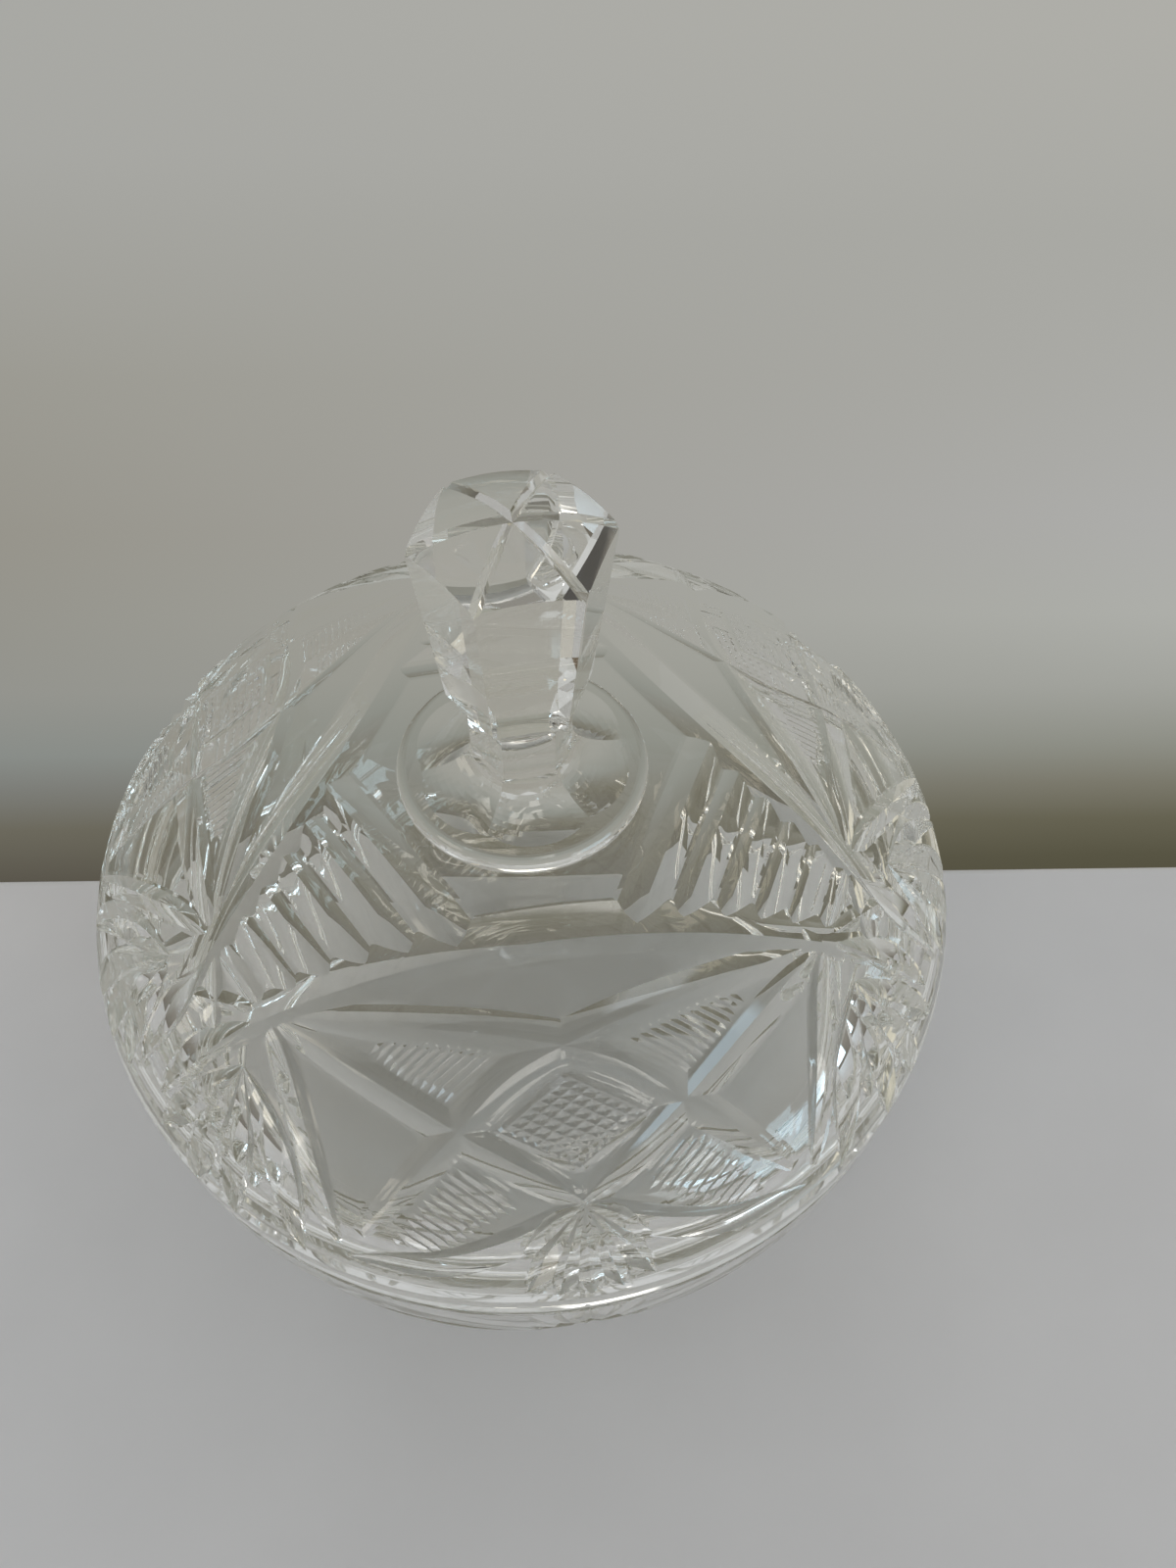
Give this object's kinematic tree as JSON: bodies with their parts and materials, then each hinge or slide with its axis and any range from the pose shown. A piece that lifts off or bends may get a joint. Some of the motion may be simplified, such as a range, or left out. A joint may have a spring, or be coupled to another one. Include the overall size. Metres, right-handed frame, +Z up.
{
  "type": "powder jar",
  "caption": "Round clear cut-glass bowl with a domed lid that lifts off, held by a tall tapered faceted finial on a round foot, for loose powder and a puff.",
  "frame": {"origin": "centre of the bowl's flat base, on the surface it stands on", "axes": "+Z up along the jar's round axis; -Y through the middle of one of the lid's cut panels"},
  "size_m": [0.15, 0.15, 0.1544],
  "materials": {
    "bowl_glass": "clear lead glass, cut and polished",
    "lid_glass": "clear lead glass, cut and polished",
    "finial_glass": "clear lead glass, cut in flat facets and polished"
  },
  "bodies": {
    "bowl": {"bowl": "bowl_glass"},
    "lid": {"lid_dome": "lid_glass", "finial": "finial_glass"}
  },
  "joints": [
    {"name": "lid_lift", "type": "slide", "parent": "bowl", "child": "lid", "axis": [0, 0, 1], "range_m": [0, 0.1]}
  ]
}
